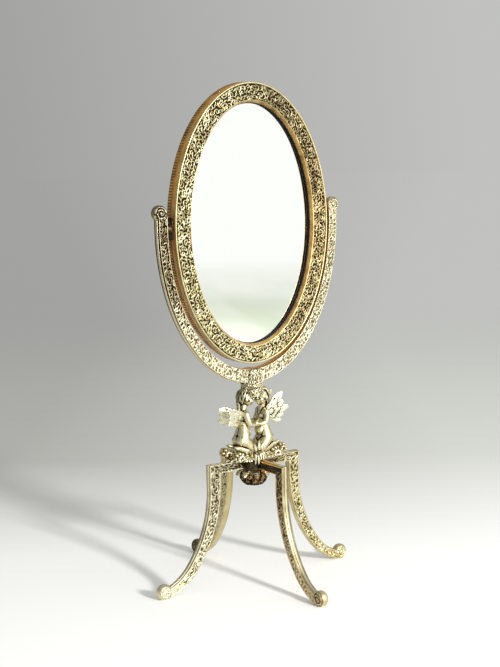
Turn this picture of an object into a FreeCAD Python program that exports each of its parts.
"""Tilting table mirror: an oval mirror head in a yoke, on two kneeling putti and four scrolled legs.

Millimetres. The origin is on the table under the stem and +Z is up. The glass faces -Y, and the head tilts
about X. Each piece is written to parts/NODE.step.
"""

import FreeCAD, Part
import math
import os

from FreeCAD import Matrix, Vector

# Mirror head: an oval bezel, its glass and what closes the back
OVAL_HALF_WIDTH = 58.2
OVAL_HALF_HEIGHT = 88.4
BORDER_WIDTH = 12.8
BEZEL_FRONT_Y = -6.0
BORDER_SINK = 0.8
BEAD_WIDTH = 1.2
COVE_WIDTH = 1.2
COVE_DEPTH = 3.4
FLANGE_DEPTH = 1.8
LIP_THICKNESS = 1.2
WALL_THICKNESS = 1.6
BAND_THICKNESS = 0.8
BAND_FRONT_Y = -0.6
BAND_LIP_WIDTH = 3.2
BAND_LIP_THICKNESS = 0.5
GLASS_THICKNESS = 2.5
GLASS_EDGE_GAP = 2.4
CARD_THICKNESS = 1.2
BACK_THICKNESS = 0.8
BACK_EDGE_GAP = 0.3
BACK_PANEL_INSET = 10.0
BACK_PANEL_RISE = 0.6
BACK_PANEL_SLOPE = 1.2
TAB_COUNT = 6
TAB_WIDTH = 6.0
TAB_REACH = 5.0
TAB_THICKNESS = 0.5

# Tilt pivots, one on each side of the head
PIN_R = 1.3
PIN_HEAD_R = 2.0
PIN_HEAD_THICKNESS = 0.9
PIN_DEPTH_IN_YOKE = 4.0
LUG_THICKNESS = 1.2
LUG_WIDTH = 6.4
LUG_HEIGHT = 14.0
WASHER_R = 2.9
FRICTION_WASHER_THICKNESS = 0.5
RUNNING_CLEARANCE = 0.05
FACE_CLEARANCE = 0.1

# Yoke: an oval U around the head, with a scroll at each tip
YOKE_GAP_SIDE = 3.3
YOKE_GAP_BELOW = 3.8
YOKE_BAR_SIDE = 6.2
YOKE_BAR_BOTTOM = 8.8
YOKE_DEPTH = 6.4
YOKE_ARM_ABOVE_PIVOT = 7.4
YOKE_SCROLL_R = 4.8
YOKE_SCROLL_OUT = 1.2
YOKE_SCROLL_UP = 2.4
SPOT_FACE_DEPTH = 0.3
SADDLE_TOP_R = 5.4
SADDLE_BELOW_BAR = 0.4
NECK_SCREW_R = 1.5
NECK_SCREW_HEAD_R = 2.8
NECK_SCREW_HEAD_HEIGHT = 1.8
NECK_SCREW_SLOT = 0.8
NECK_SCREW_GRIP = 3.2
NECK_SCREW_IN_COLLAR = 4.0

# Raised edge beads of the cast bars, around a sunk panel
EDGE_BEAD = 0.9
PANEL_DEPTH = 0.5

# Legs: an arm out from the hub, a square shoulder, two bends and a scrolled foot
LEG_AXIS_R = 31.0
LEG_WIDTH = 8.0
LEG_FOOT_WIDTH = 5.6
LEG_THICKNESS = 5.0
LEG_STRAIGHT = 8.4
BEND_UPPER_R = 80.0
BEND_UPPER_TURN = 39.6
BEND_LOWER_R = 36.0
BEND_LOWER_TURN = 33.4
BEND_END_Z = 3.5
FOOT_R = 5.0
FOOT_BEYOND_BEND = 3.1
FOOT_FLAT = 0.3
FOOT_THICKNESS = 6.0

# Hub, the arms' seats in it and what hangs below it
ARM_HEIGHT = 6.0
HUB_HALF = 9.0
TENON_LENGTH = 4.0
TENON_WIDTH = 3.0
TENON_HEIGHT = 3.2
SEAT_CLEARANCE = 0.05
LEG_SCREW_R = 0.8
LEG_SCREW_HEAD_R = 1.5
BOSS_R = 9.5
BOSS_NECK_R = 7.6
BOSS_HEIGHT = 11.0
BOSS_FOOT_R = 7.4
BOSS_RECESS_R = 5.6
BOSS_RECESS_DEPTH = 5.0
TIE_R = 2.0
TIE_IN_MOUND = 3.4
TIE_WASHER_R = 4.4
TIE_WASHER_THICKNESS = 0.8
TIE_NUT_FLATS = 7.0
TIE_NUT_HEIGHT = 3.0
TIE_PAST_NUT = 0.8

# Foliate mound that the figures kneel on
MOUND_HALF_LENGTH = 23.0
MOUND_HALF_DEPTH = 11.5
MOUND_RISE = 5.0
ROLL_X = 14.6
ROLL_R = 4.4
ROLL_HALF_SPREAD = 3.6
ROLL_Z = 2.2

# Figure, heights above the arms' top face and distances from the plane where the pair meet
MEETING_GAP = 0.1
HEAD_R = 5.4
HEAD_X = 5.4
HEAD_Z = 38.4
CHEST_X = 7.6
CHEST_Z = 27.6
CHEST_R = 4.7
NECK_R = 2.7
BELLY_X = 6.8
BELLY_Z = 18.0
BELLY_R = 5.1
HIP_X = 8.4
HIP_Z = 12.2
HIP_R = 4.5
HIP_HALF_SPREAD = 2.6
SHOULDER_Z = 30.2
SHOULDER_HALF_SPREAD = 4.9
SHOULDER_R = 2.3
ELBOW_X = 5.9
ELBOW_Z = 23.6
ELBOW_HALF_SPREAD = 6.3
ELBOW_R = 1.8
HAND_Z = 22.6
HAND_HALF_SPREAD = 3.6
HAND_R = 1.4
KNEE_X = 2.7
KNEE_Z = 6.0
KNEE_HALF_SPREAD = 3.5
KNEE_R = 2.5
THIGH_R = 3.7
ANKLE_X = 12.6
ANKLE_Z = 7.9
ANKLE_R = 1.6
TOE_X = 16.4
TOE_Z = 8.4
TOE_R = 1.1
NESTING = 0.95

# Wings, flat castings on the figures' backs: each is a fan of feathers between two angles above the level
WING_LENGTH = 13.6
WING_THICKNESS = 1.2
WING_SPREAD_DEG = 18.0
WING_FAN_LEFT_DEG = (20.0, -18.0)
WING_FAN_RIGHT_DEG = (45.0, -40.0)
WING_ROOT_Z = 29.6
WING_ROOT_IN = 2.2
WING_ROOT_HALF_HEIGHT = 2.6
WING_ROOT_HALF_SPREAD = 2.4
WING_FEATHERS = 3
FEATHER_BULGE = 1.3

# Collar that carries the yoke on the two heads
COLLAR_R = 7.4
COLLAR_FOOT_R = 7.8
COLLAR_ABOVE_HEADS = 10.8
COLLAR_BELOW = 8.2

X, Y, Z = Vector(1, 0, 0), Vector(0, 1, 0), Vector(0, 0, 1)

# Leg curve, worked up from the table
turn_upper = math.radians(BEND_UPPER_TURN)
turn_end = math.radians(BEND_UPPER_TURN + BEND_LOWER_TURN)
bend_mid_z = BEND_END_Z + BEND_LOWER_R * (math.sin(turn_end) - math.sin(turn_upper))
bend_top_z = bend_mid_z + BEND_UPPER_R * math.sin(turn_upper)
bend_mid_r = LEG_AXIS_R + BEND_UPPER_R * (1 - math.cos(turn_upper))
bend_end_r = bend_mid_r + BEND_LOWER_R * (math.cos(turn_upper) - math.cos(turn_end))
foot_r = bend_end_r + FOOT_BEYOND_BEND
foot_z = FOOT_R - FOOT_FLAT
arm_bottom = bend_top_z + LEG_STRAIGHT
arm_top = arm_bottom + ARM_HEIGHT

# Heights and half sizes above the legs
neck_top = arm_top + HEAD_Z + COLLAR_ABOVE_HEADS
yoke_inner = (OVAL_HALF_WIDTH + YOKE_GAP_SIDE, OVAL_HALF_HEIGHT + YOKE_GAP_BELOW)
yoke_outer = (yoke_inner[0] + YOKE_BAR_SIDE, yoke_inner[1] + YOKE_BAR_BOTTOM)
pivot_z = neck_top + SADDLE_BELOW_BAR + yoke_outer[1]

# Depths of the head's layers, from the front lip to the back
lip_front_y = BEZEL_FRONT_Y + COVE_DEPTH
seat_y = lip_front_y + LIP_THICKNESS
card_y = seat_y + GLASS_THICKNESS
back_y = card_y + CARD_THICKNESS
tab_y = back_y + BACK_THICKNESS
wall_end_y = tab_y + TAB_THICKNESS
band_end_y = wall_end_y + BAND_LIP_THICKNESS
wall_x = OVAL_HALF_WIDTH - BAND_THICKNESS
cavity_x = wall_x - WALL_THICKNESS
lug_x = wall_x + LUG_THICKNESS
yoke_face_x = yoke_inner[0] + SPOT_FACE_DEPTH


def ellipse(inset, y, sizes=(OVAL_HALF_WIDTH, OVAL_HALF_HEIGHT)):
    """Upright ellipse about the pivot axis at that depth, drawn in from the given half sizes."""
    centre = Vector(0, y, pivot_z)
    return Part.Ellipse(centre + Z * (sizes[1] - inset), centre + X * (sizes[0] - inset), centre)


def oval_wire(inset, y):
    return Part.Wire([ellipse(inset, y).toShape()])


def oval_prism(inset, y_start, y_end):
    return Part.Face(oval_wire(inset, y_start)).extrude(Y * (y_end - y_start))


def oval_taper(inset_start, y_start, inset_end, y_end):
    return Part.makeLoft([oval_wire(inset_start, y_start), oval_wire(inset_end, y_end)], True, True)


def rod(radius, start, end):
    return Part.makeCylinder(radius, (end - start).Length, start, end - start)


def capsule(start, start_r, end, end_r):
    """Tapered limb with round ends: the hull of two balls, turned about the line between them."""
    length = (end - start).Length
    slope = math.asin((start_r - end_r) / length)

    def on_ball(radius, along, angle):
        return Vector(radius * math.cos(angle), 0, along + radius * math.sin(angle))

    low, high = -math.pi / 2, math.pi / 2
    points = [on_ball(start_r, 0, low), on_ball(start_r, 0, slope)]
    points += [on_ball(end_r, length, slope), on_ball(end_r, length, high)]
    edges = [
        Part.Arc(points[0], on_ball(start_r, 0, (low + slope) / 2), points[1]).toShape(),
        Part.LineSegment(points[1], points[2]).toShape(),
        Part.Arc(points[2], on_ball(end_r, length, (high + slope) / 2), points[3]).toShape(),
        Part.LineSegment(points[3], points[0]).toShape(),
    ]
    limb = Part.Face(Part.Wire(edges)).revolve(Vector(), Z, 360)
    limb.Placement = FreeCAD.Placement(start, FreeCAD.Rotation(Z, end - start))
    return limb


def fuse(shapes):
    return shapes[0].multiFuse(shapes[1:]).removeSplitter()


def mirrored(shape):
    """The same piece for the other side of the plane X = 0."""
    return shape.mirror(Vector(), X)


# Mirror head


def front_bezel():
    """Oval casting: a sunk border between two beads, a cove down to the lip and a plain side wall."""
    body = oval_prism(BAND_THICKNESS, BEZEL_FRONT_Y, wall_end_y)
    flange = oval_prism(0, BEZEL_FRONT_Y, BEZEL_FRONT_Y + FLANGE_DEPTH)
    floor_y = BEZEL_FRONT_Y + BORDER_SINK
    sight = oval_prism(BORDER_WIDTH - COVE_WIDTH - BEAD_WIDTH, BEZEL_FRONT_Y, floor_y)
    border = oval_prism(BEAD_WIDTH, BEZEL_FRONT_Y, floor_y).cut(sight)
    cove = oval_taper(BORDER_WIDTH - COVE_WIDTH, BEZEL_FRONT_Y, BORDER_WIDTH, lip_front_y)
    shell = fuse([body, flange]).cut(border).cut(cove)
    shell = shell.cut(oval_prism(BORDER_WIDTH, lip_front_y, band_end_y))
    shell = shell.cut(oval_prism(BAND_THICKNESS + WALL_THICKNESS, seat_y, band_end_y))
    for side in (-1, 1):
        shell = shell.cut(pin_space(side))
    return shell


def pin_space(side):
    """Hole for a pin through wall and lug, with a pocket for its head inside the wall."""
    head_start = Vector(side * (cavity_x - PIN_HEAD_THICKNESS - SEAT_CLEARANCE), 0, pivot_z)
    pocket = rod(PIN_HEAD_R + SEAT_CLEARANCE, head_start, Vector(side * cavity_x, 0, pivot_z))
    return fuse([pocket, rod(PIN_R, head_start, Vector(side * lug_x, 0, pivot_z))])


def lug_blank(side, grow=0.0):
    """Oblong block on the pivot axis, from inside the wall to the lug's outer face."""
    half_width = LUG_WIDTH / 2 + grow
    straight = LUG_HEIGHT / 2 - LUG_WIDTH / 2
    start = Vector(side * cavity_x, 0, pivot_z)
    out = X * side * (lug_x - cavity_x)
    ends = [rod(half_width, start + Z * s * straight, start + Z * s * straight + out) for s in (-1, 1)]
    middle = Part.makeBox(abs(out.x), 2 * half_width, 2 * straight)
    middle.translate(Vector(min(start.x, start.x + out.x), -half_width, pivot_z - straight))
    return fuse([ends[0], middle, ends[1]])


def rear_rim():
    """Reeded band around the rear of the wall, turned in over its edge."""
    band = oval_prism(0, BAND_FRONT_Y, band_end_y).cut(
        oval_prism(BAND_THICKNESS, BAND_FRONT_Y, wall_end_y)
    )
    band = band.cut(oval_prism(BAND_LIP_WIDTH, wall_end_y, band_end_y))
    for side in (-1, 1):
        band = band.cut(lug_blank(side, FACE_CLEARANCE))
    return band


def mirror_glass():
    return oval_prism(BAND_THICKNESS + WALL_THICKNESS + GLASS_EDGE_GAP, seat_y, card_y)


def backing_card():
    return oval_prism(BAND_THICKNESS + WALL_THICKNESS + GLASS_EDGE_GAP, card_y, back_y)


def back_plate():
    """Sheet that closes the back, with a raised oval panel."""
    edge = BAND_THICKNESS + WALL_THICKNESS + BACK_EDGE_GAP
    sheet = oval_prism(edge, back_y, tab_y)
    panel_edge = edge + BACK_PANEL_INSET
    panel = oval_taper(panel_edge, tab_y, panel_edge + BACK_PANEL_SLOPE, tab_y + BACK_PANEL_RISE)
    return fuse([sheet, panel]).cut(pin_space(-1)).cut(pin_space(1))


def retaining_tabs():
    """Clips inside the wall, folded over the back plate, evenly spaced and clear of the pivots."""
    cavity = oval_prism(BAND_THICKNESS + WALL_THICKNESS, tab_y, wall_end_y)
    core = oval_prism(BAND_THICKNESS + WALL_THICKNESS + TAB_REACH, tab_y, wall_end_y)
    ring = cavity.cut(core)
    tabs = []
    for i in range(TAB_COUNT):
        angle = math.radians(90 + 360 * i / TAB_COUNT)
        box = Part.makeBox(2 * OVAL_HALF_HEIGHT, TAB_THICKNESS, TAB_WIDTH, Vector(0, tab_y, -TAB_WIDTH / 2))
        box.rotate(Vector(), Y, -math.degrees(angle))
        box.translate(Z * pivot_z)
        tabs.append(ring.common(box))
    return Part.makeCompound(tabs)


# Tilt pivots


def pivot_lug(side):
    """Plate on the wall that stiffens it around the pin."""
    lug = lug_blank(side).cut(oval_prism(BAND_THICKNESS, BEZEL_FRONT_Y, band_end_y))
    return lug.cut(rod(PIN_R, Vector(side * cavity_x, 0, pivot_z), Vector(side * lug_x, 0, pivot_z)))


def pivot_pin(side):
    """Pin riveted through wall and lug, with its head inside the bezel, running in the yoke."""
    head_start = cavity_x - PIN_HEAD_THICKNESS
    shank_end = yoke_inner[0] + PIN_DEPTH_IN_YOKE
    head_end = cavity_x - SEAT_CLEARANCE
    head = rod(PIN_HEAD_R, Vector(side * head_start, 0, pivot_z), Vector(side * head_end, 0, pivot_z))
    shank_start = (head_start + head_end) / 2
    shank = rod(PIN_R, Vector(side * shank_start, 0, pivot_z), Vector(side * shank_end, 0, pivot_z))
    return fuse([head, shank])


def ring_on_axis(side, x_start, x_end, radius):
    start, end = Vector(side * x_start, 0, pivot_z), Vector(side * x_end, 0, pivot_z)
    return rod(radius, start, end).cut(rod(PIN_R + RUNNING_CLEARANCE, start, end))


def friction_washer(side):
    start = lug_x + FACE_CLEARANCE
    return ring_on_axis(side, start, start + FRICTION_WASHER_THICKNESS, WASHER_R)


def pivot_spacer(side):
    start = lug_x + FACE_CLEARANCE + FRICTION_WASHER_THICKNESS
    return ring_on_axis(side, start, yoke_face_x, WASHER_R)


# Yoke


def yoke_outline(inset):
    """Closed outline of the U bar, drawn in all round by inset."""
    inner = ellipse(-inset, 0, yoke_inner)
    outer = ellipse(inset, 0, yoke_outer)
    inner_x, outer_x = yoke_inner[0] + inset, yoke_outer[0] - inset
    tip_z = pivot_z + YOKE_ARM_ABOVE_PIVOT - inset
    start, end = math.pi / 2, 3 * math.pi / 2
    corners = [Vector(inner_x, 0, pivot_z), Vector(inner_x, 0, tip_z)]
    corners += [Vector(outer_x, 0, tip_z), Vector(outer_x, 0, pivot_z)]
    right = Part.makePolygon(corners)
    left = mirrored(right)
    arcs = [Part.ArcOfEllipse(curve, start, end).toShape() for curve in (inner, outer)]
    return Part.Wire(Part.sortEdges(right.Edges + left.Edges + arcs)[0])


def plate_of(wire, y_start, y_end):
    plate = Part.Face(wire)
    plate.translate(Y * y_start)
    return plate.extrude(Y * (y_end - y_start))


def yoke_scroll(side):
    centre = Vector(side * ((yoke_inner[0] + yoke_outer[0]) / 2 + YOKE_SCROLL_OUT), 0,
                    pivot_z + YOKE_ARM_ABOVE_PIVOT + YOKE_SCROLL_UP)
    return rod(YOKE_SCROLL_R, centre - Y * YOKE_DEPTH / 2, centre + Y * YOKE_DEPTH / 2)


def yoke():
    half = YOKE_DEPTH / 2
    bar = plate_of(yoke_outline(0), -half, half)
    panel = yoke_outline(EDGE_BEAD)
    for y_start, y_end in ((-half, PANEL_DEPTH - half), (half - PANEL_DEPTH, half)):
        bar = bar.cut(plate_of(panel, y_start, y_end))
    saddle = Part.makeCone(COLLAR_R, SADDLE_TOP_R, YOKE_BAR_BOTTOM + YOKE_GAP_BELOW, Vector(0, 0, neck_top))
    inside = Part.Wire([ellipse(0, 0, yoke_inner).toShape()])
    saddle = saddle.cut(plate_of(inside, -2 * COLLAR_R, 2 * COLLAR_R))
    body = fuse([bar, saddle, yoke_scroll(-1), yoke_scroll(1)])
    for side in (-1, 1):
        mouth = Vector(side * (yoke_inner[0] - YOKE_GAP_SIDE), 0, pivot_z)
        face = Vector(side * yoke_face_x, 0, pivot_z)
        end = Vector(side * (yoke_inner[0] + PIN_DEPTH_IN_YOKE + FACE_CLEARANCE), 0, pivot_z)
        body = body.cut(rod(WASHER_R + FACE_CLEARANCE, mouth, face))
        body = body.cut(rod(PIN_R + RUNNING_CLEARANCE, mouth, end))
    body = body.cut(neck_screw_space())
    return body


def neck_screw_space():
    seat_z = neck_top + NECK_SCREW_GRIP
    shaft = rod(NECK_SCREW_R + SEAT_CLEARANCE, Vector(0, 0, neck_top), Vector(0, 0, seat_z))
    pocket = rod(NECK_SCREW_HEAD_R + SEAT_CLEARANCE, Vector(0, 0, seat_z),
                 Vector(0, 0, neck_top + YOKE_BAR_BOTTOM + YOKE_GAP_BELOW))
    return fuse([shaft, pocket])


def neck_screw():
    seat_z = neck_top + NECK_SCREW_GRIP
    shank = rod(NECK_SCREW_R, Vector(0, 0, neck_top - NECK_SCREW_IN_COLLAR), Vector(0, 0, seat_z))
    head_top = Vector(0, 0, seat_z + NECK_SCREW_HEAD_HEIGHT)
    head = rod(NECK_SCREW_HEAD_R, Vector(0, 0, seat_z), head_top)
    slot = Part.makeBox(2 * NECK_SCREW_HEAD_R, NECK_SCREW_SLOT, NECK_SCREW_HEAD_HEIGHT)
    slot.translate(head_top - Vector(NECK_SCREW_HEAD_R, NECK_SCREW_SLOT / 2, NECK_SCREW_HEAD_HEIGHT / 2))
    return fuse([shank, head]).cut(slot)


# Legs, for the leg along +X, turned into place


def leg_point(angle, offset):
    """Point beside the leg's centre line where it has turned out by angle, offset towards the shin."""
    if angle <= turn_upper:
        r = LEG_AXIS_R + BEND_UPPER_R * (1 - math.cos(angle))
        z = bend_top_z - BEND_UPPER_R * math.sin(angle)
    else:
        r = bend_mid_r + BEND_LOWER_R * (math.cos(turn_upper) - math.cos(angle))
        z = bend_mid_z - BEND_LOWER_R * (math.sin(angle) - math.sin(turn_upper))
    return Vector(r + offset * math.cos(angle), 0, z + offset * math.sin(angle))


def leg_half_width(angle):
    run_upper = BEND_UPPER_R * min(angle, turn_upper)
    run_lower = BEND_LOWER_R * max(angle - turn_upper, 0)
    whole = BEND_UPPER_R * turn_upper + BEND_LOWER_R * (turn_end - turn_upper)
    return (LEG_WIDTH + (LEG_FOOT_WIDTH - LEG_WIDTH) * (run_upper + run_lower) / whole) / 2


def leg_arcs(side, inset):
    """The two arcs of one long edge of the leg, from the top of the upper bend to the foot."""
    stations = [0, turn_upper / 2, turn_upper, (turn_upper + turn_end) / 2, turn_end]
    points = [leg_point(a, side * (leg_half_width(a) - inset)) for a in stations]
    return [Part.Arc(*points[0:3]).toShape(), Part.Arc(*points[2:5]).toShape()]


def leg_outline(inset):
    """Closed outline of arm, shoulder and leg in the plane Y = 0, drawn in all round by inset."""
    outer, inner = leg_arcs(1, inset), leg_arcs(-1, inset)
    shin_top, calf_top = outer[0].Vertexes[0].Point, inner[0].Vertexes[0].Point
    shin_end, calf_end = outer[1].Vertexes[-1].Point, inner[1].Vertexes[-1].Point
    corners = [
        shin_top,
        Vector(shin_top.x, 0, arm_top - inset),
        Vector(HUB_HALF + inset, 0, arm_top - inset),
        Vector(HUB_HALF + inset, 0, arm_bottom + inset),
        Vector(calf_top.x, 0, arm_bottom + inset),
        calf_top,
    ]
    edges = Part.makePolygon(corners).Edges + inner + outer
    edges.append(Part.LineSegment(shin_end, calf_end).toShape())
    return Part.Wire(Part.sortEdges(edges)[0])


def leg_along_x():
    half = LEG_THICKNESS / 2
    bar = plate_of(leg_outline(0), -half, half)
    panel = leg_outline(EDGE_BEAD)
    for y_start, y_end in ((-half, PANEL_DEPTH - half), (half - PANEL_DEPTH, half)):
        bar = bar.cut(plate_of(panel, y_start, y_end))
    foot_centre = Vector(foot_r, 0, foot_z)
    foot = rod(FOOT_R, foot_centre - Y * FOOT_THICKNESS / 2, foot_centre + Y * FOOT_THICKNESS / 2)
    tenon = Part.makeBox(TENON_LENGTH + EDGE_BEAD, TENON_WIDTH, TENON_HEIGHT)
    tenon.translate(Vector(HUB_HALF - TENON_LENGTH, -TENON_WIDTH / 2, arm_middle() - TENON_HEIGHT / 2))
    leg = fuse([bar, foot, tenon])
    below = Part.makeBox(4 * foot_r, 4 * FOOT_R, 4 * FOOT_R, Vector(-2 * foot_r, -2 * FOOT_R, -4 * FOOT_R))
    screw_x = HUB_HALF - TENON_LENGTH / 2
    hole = rod(LEG_SCREW_R + SEAT_CLEARANCE, Vector(screw_x, 0, arm_bottom), Vector(screw_x, 0, arm_top))
    return leg.cut(below).cut(hole)


def arm_middle():
    return (arm_top + arm_bottom) / 2


def turned(shape, quarter_turns):
    copy = shape.copy()
    copy.rotate(Vector(), Z, 90 * quarter_turns)
    return copy


# Hub and what hangs below it


def hub():
    """Square block with a seat for each arm's tenon, a hole for each leg screw and one for the tie bolt."""
    block = Part.makeBox(2 * HUB_HALF, 2 * HUB_HALF, ARM_HEIGHT, Vector(-HUB_HALF, -HUB_HALF, arm_bottom))
    seat = Part.makeBox(
        TENON_LENGTH + SEAT_CLEARANCE, TENON_WIDTH + 2 * SEAT_CLEARANCE, TENON_HEIGHT + 2 * SEAT_CLEARANCE
    )
    seat.translate(Vector(HUB_HALF - TENON_LENGTH - SEAT_CLEARANCE, -TENON_WIDTH / 2 - SEAT_CLEARANCE,
                          arm_middle() - TENON_HEIGHT / 2 - SEAT_CLEARANCE))
    screw = leg_screw_along_x(SEAT_CLEARANCE)
    for quarter in range(4):
        block = block.cut(turned(seat, quarter)).cut(turned(screw, quarter))
    return block.cut(tie_space())


def leg_screw_along_x(grow=0.0):
    """Countersunk screw up through the hub into a tenon, its head flush with the hub's underside."""
    screw_x = HUB_HALF - TENON_LENGTH / 2
    start = Vector(screw_x, 0, arm_bottom)
    head_height = LEG_SCREW_HEAD_R - LEG_SCREW_R
    head = Part.makeCone(LEG_SCREW_HEAD_R + grow, LEG_SCREW_R + grow, head_height, start)
    shank_end = Vector(screw_x, 0, arm_middle() + TENON_HEIGHT / 2 + grow)
    return fuse([head, rod(LEG_SCREW_R + grow, start + Z * head_height / 2, shank_end)])


def leg_screws():
    return Part.makeCompound([turned(leg_screw_along_x(), quarter) for quarter in range(4)])


def tie_space():
    low, high = Vector(0, 0, arm_bottom - BOSS_HEIGHT), Vector(0, 0, arm_top + TIE_IN_MOUND)
    return rod(TIE_R + SEAT_CLEARANCE, low, high)


def pendant_boss():
    """Turned bowl under the hub, hollow below for the nut."""
    top, low = arm_bottom, arm_bottom - BOSS_HEIGHT
    belly = top - BOSS_HEIGHT / 2
    foot = Vector(BOSS_FOOT_R, 0, low)
    edges = [
        Part.LineSegment(Vector(0, 0, top), Vector(BOSS_NECK_R, 0, top)).toShape(),
        Part.Arc(Vector(BOSS_NECK_R, 0, top), Vector(BOSS_R, 0, belly), foot).toShape(),
        Part.LineSegment(foot, Vector(0, 0, low)).toShape(),
        Part.LineSegment(Vector(0, 0, low), Vector(0, 0, top)).toShape(),
    ]
    bowl = Part.Face(Part.Wire(edges)).revolve(Vector(), Z, 360)
    recess = rod(BOSS_RECESS_R, Vector(0, 0, low), Vector(0, 0, low + BOSS_RECESS_DEPTH))
    return bowl.cut(recess).cut(tie_space())


def recess_roof():
    return arm_bottom - BOSS_HEIGHT + BOSS_RECESS_DEPTH


def tie_washer():
    roof = recess_roof()
    return rod(TIE_WASHER_R, Vector(0, 0, roof - TIE_WASHER_THICKNESS), Vector(0, 0, roof)).cut(tie_space())


def tie_nut():
    top = recess_roof() - TIE_WASHER_THICKNESS
    corner = TIE_NUT_FLATS / 2 / math.cos(math.pi / 6)
    angles = [i * math.pi / 3 for i in range(7)]
    points = [Vector(corner * math.cos(a), corner * math.sin(a), top) for a in angles]
    nut = Part.Face(Part.makePolygon(points)).extrude(-Z * TIE_NUT_HEIGHT)
    return nut.cut(rod(TIE_R + SEAT_CLEARANCE, Vector(0, 0, top - TIE_NUT_HEIGHT), Vector(0, 0, top)))


def tie_bolt():
    low = recess_roof() - TIE_WASHER_THICKNESS - TIE_NUT_HEIGHT - TIE_PAST_NUT
    return rod(TIE_R, Vector(0, 0, low), Vector(0, 0, arm_top + TIE_IN_MOUND))


# Mound, figures, wings and collar


def figure_mound():
    """Low oval mound on the arms, with a roll under each pair of feet."""
    stretch = Matrix()
    stretch.scale(MOUND_HALF_LENGTH, MOUND_HALF_DEPTH, MOUND_RISE)
    dome = Part.makeSphere(1).transformGeometry(stretch)
    dome.translate(Z * arm_top)
    rolls = []
    for side in (-1, 1):
        centre = Vector(side * ROLL_X, 0, arm_top + ROLL_Z)
        rolls.append(capsule(centre - Y * ROLL_HALF_SPREAD, ROLL_R, centre + Y * ROLL_HALF_SPREAD, ROLL_R))
    body = fuse([dome] + rolls)
    reach = 2 * MOUND_HALF_LENGTH
    below = Part.makeBox(2 * reach, 2 * reach, reach, Vector(-reach, -reach, arm_top - reach))
    return body.cut(below).cut(tie_space())


def figure():
    """Kneeling putto on the left, facing +X, cut flat where it meets its pair."""

    def at(x, y, z):
        return Vector(-x, y, arm_top + z)

    chest, belly = at(CHEST_X, 0, CHEST_Z), at(BELLY_X, 0, BELLY_Z)
    head = at(HEAD_X, 0, HEAD_Z)
    body = [
        capsule(chest, NECK_R, head, NECK_R * NESTING),
        capsule(chest, CHEST_R, belly, BELLY_R),
        capsule(at(HIP_X, -HIP_HALF_SPREAD, HIP_Z), HIP_R, at(HIP_X, HIP_HALF_SPREAD, HIP_Z), HIP_R),
        capsule(at(CHEST_X, -SHOULDER_HALF_SPREAD, SHOULDER_Z), SHOULDER_R,
                at(CHEST_X, SHOULDER_HALF_SPREAD, SHOULDER_Z), SHOULDER_R),
        Part.makeSphere(HEAD_R, head),
    ]
    for y_side in (-1, 1):
        shoulder = at(CHEST_X, y_side * SHOULDER_HALF_SPREAD, SHOULDER_Z)
        elbow = at(ELBOW_X, y_side * ELBOW_HALF_SPREAD, ELBOW_Z)
        hand = at(0, y_side * HAND_HALF_SPREAD, HAND_Z)
        hip = at(HIP_X, y_side * (HIP_HALF_SPREAD + HIP_R - THIGH_R), HIP_Z)
        knee = at(KNEE_X, y_side * KNEE_HALF_SPREAD, KNEE_Z)
        ankle = at(ANKLE_X, y_side * KNEE_HALF_SPREAD, ANKLE_Z)
        toe = at(TOE_X, y_side * KNEE_HALF_SPREAD, TOE_Z)
        body += [
            capsule(shoulder, SHOULDER_R * NESTING, elbow, ELBOW_R),
            capsule(elbow, ELBOW_R * NESTING, hand, HAND_R),
            capsule(hip, THIGH_R, knee, KNEE_R),
            capsule(knee, KNEE_R * NESTING, ankle, ANKLE_R),
            capsule(ankle, ANKLE_R * NESTING, toe, TOE_R),
        ]
    whole = fuse(body)
    reach = 4 * HEAD_Z
    beyond = Part.makeBox(reach, reach, reach, Vector(-MEETING_GAP / 2, -reach / 2, arm_top - reach / 2))
    return whole.cut(beyond)


def wing_blank(y_side, fan):
    """Left figure's wing: a flat fan with scalloped feather tips, swept back from the shoulder blade."""
    reach = WING_ROOT_IN + WING_LENGTH

    def on_fan(share, radius):
        angle = math.radians(fan[0] + (fan[1] - fan[0]) * share)
        return Vector(-radius * math.cos(angle), 0, radius * math.sin(angle))

    root_top, root_low = Z * WING_ROOT_HALF_HEIGHT, -Z * WING_ROOT_HALF_HEIGHT
    tips = [on_fan(i / WING_FEATHERS, reach) for i in range(WING_FEATHERS + 1)]
    edges = [Part.LineSegment(root_low, root_top).toShape(), Part.LineSegment(root_top, tips[0]).toShape()]
    for i in range(WING_FEATHERS):
        crown = on_fan((i + 0.5) / WING_FEATHERS, reach + FEATHER_BULGE)
        edges.append(Part.Arc(tips[i], crown, tips[i + 1]).toShape())
    edges.append(Part.LineSegment(tips[-1], root_low).toShape())
    blade = plate_of(Part.Wire(edges), -WING_THICKNESS / 2, WING_THICKNESS / 2)
    blade.rotate(Vector(), Z, -y_side * WING_SPREAD_DEG)
    back_x = CHEST_X + CHEST_R - WING_ROOT_IN
    blade.translate(Vector(-back_x, y_side * WING_ROOT_HALF_SPREAD, arm_top + WING_ROOT_Z))
    return blade


def wings(body, fan):
    return Part.makeCompound([wing_blank(y_side, fan).cut(body) for y_side in (-1, 1)])


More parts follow.
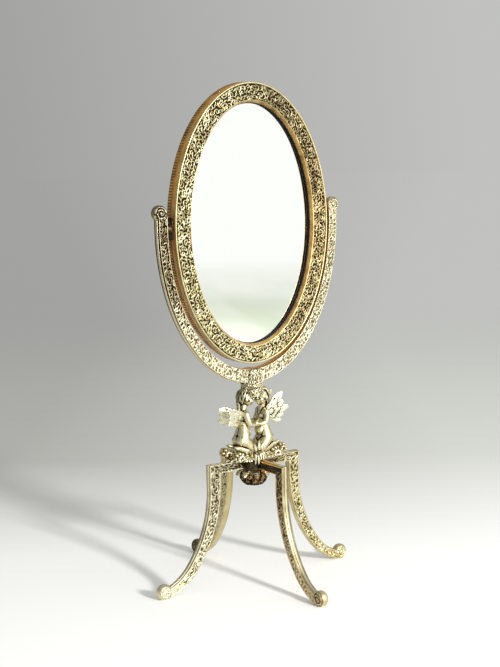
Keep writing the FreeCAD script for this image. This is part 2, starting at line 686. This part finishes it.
def neck_collar(left, right):
    """Round collar under the yoke, hollowed to sit on both heads."""
    low = neck_top - COLLAR_BELOW
    collar = Part.makeCone(COLLAR_FOOT_R, COLLAR_R, COLLAR_BELOW, Vector(0, 0, low))
    hole_end = Vector(0, 0, neck_top - NECK_SCREW_IN_COLLAR)
    hole = rod(NECK_SCREW_R + SEAT_CLEARANCE, hole_end, Vector(0, 0, neck_top))
    return collar.cut(left).cut(right).cut(hole)


def build():
    """Every node's shape by name."""
    leg = leg_along_x()
    mound = figure_mound()
    left = figure().cut(mound)
    right = mirrored(left)
    nodes = {
        "front_bezel": front_bezel(),
        "rear_rim": rear_rim(),
        "mirror_glass": mirror_glass(),
        "backing_card": backing_card(),
        "back_plate": back_plate(),
        "retaining_tabs": retaining_tabs(),
        "yoke": yoke(),
        "neck_screw": neck_screw(),
        "neck_collar": neck_collar(left, right),
        "cherub_left": left,
        "cherub_right": right,
        "wings_left": wings(left, WING_FAN_LEFT_DEG),
        "wings_right": mirrored(wings(left, WING_FAN_RIGHT_DEG)),
        "figure_mound": mound,
        "hub": hub(),
        "leg_screws": leg_screws(),
        "pendant_boss": pendant_boss(),
        "tie_bolt": tie_bolt(),
        "tie_washer": tie_washer(),
        "tie_nut": tie_nut(),
    }
    for name, quarter in (("right", 0), ("back", 1), ("left", 2), ("front", 3)):
        nodes["leg_" + name] = turned(leg, quarter)
    for name, side in (("left", -1), ("right", 1)):
        nodes["pivot_lug_" + name] = pivot_lug(side)
        nodes["pivot_pin_" + name] = pivot_pin(side)
        nodes["friction_washer_" + name] = friction_washer(side)
        nodes["pivot_spacer_" + name] = pivot_spacer(side)
    return nodes


def main():
    os.makedirs("parts", exist_ok=True)
    for name, shape in sorted(build().items()):
        shape.exportStep(os.path.join("parts", name + ".step"))
        print(f"{name}: {len(shape.Solids)} solid, {shape.Volume:.1f} mm3, valid {shape.isValid()}")
    print(f"arm top {arm_top:.2f}, neck top {neck_top:.2f}, pivot {pivot_z:.2f}, foot {foot_r:.2f}")


main()
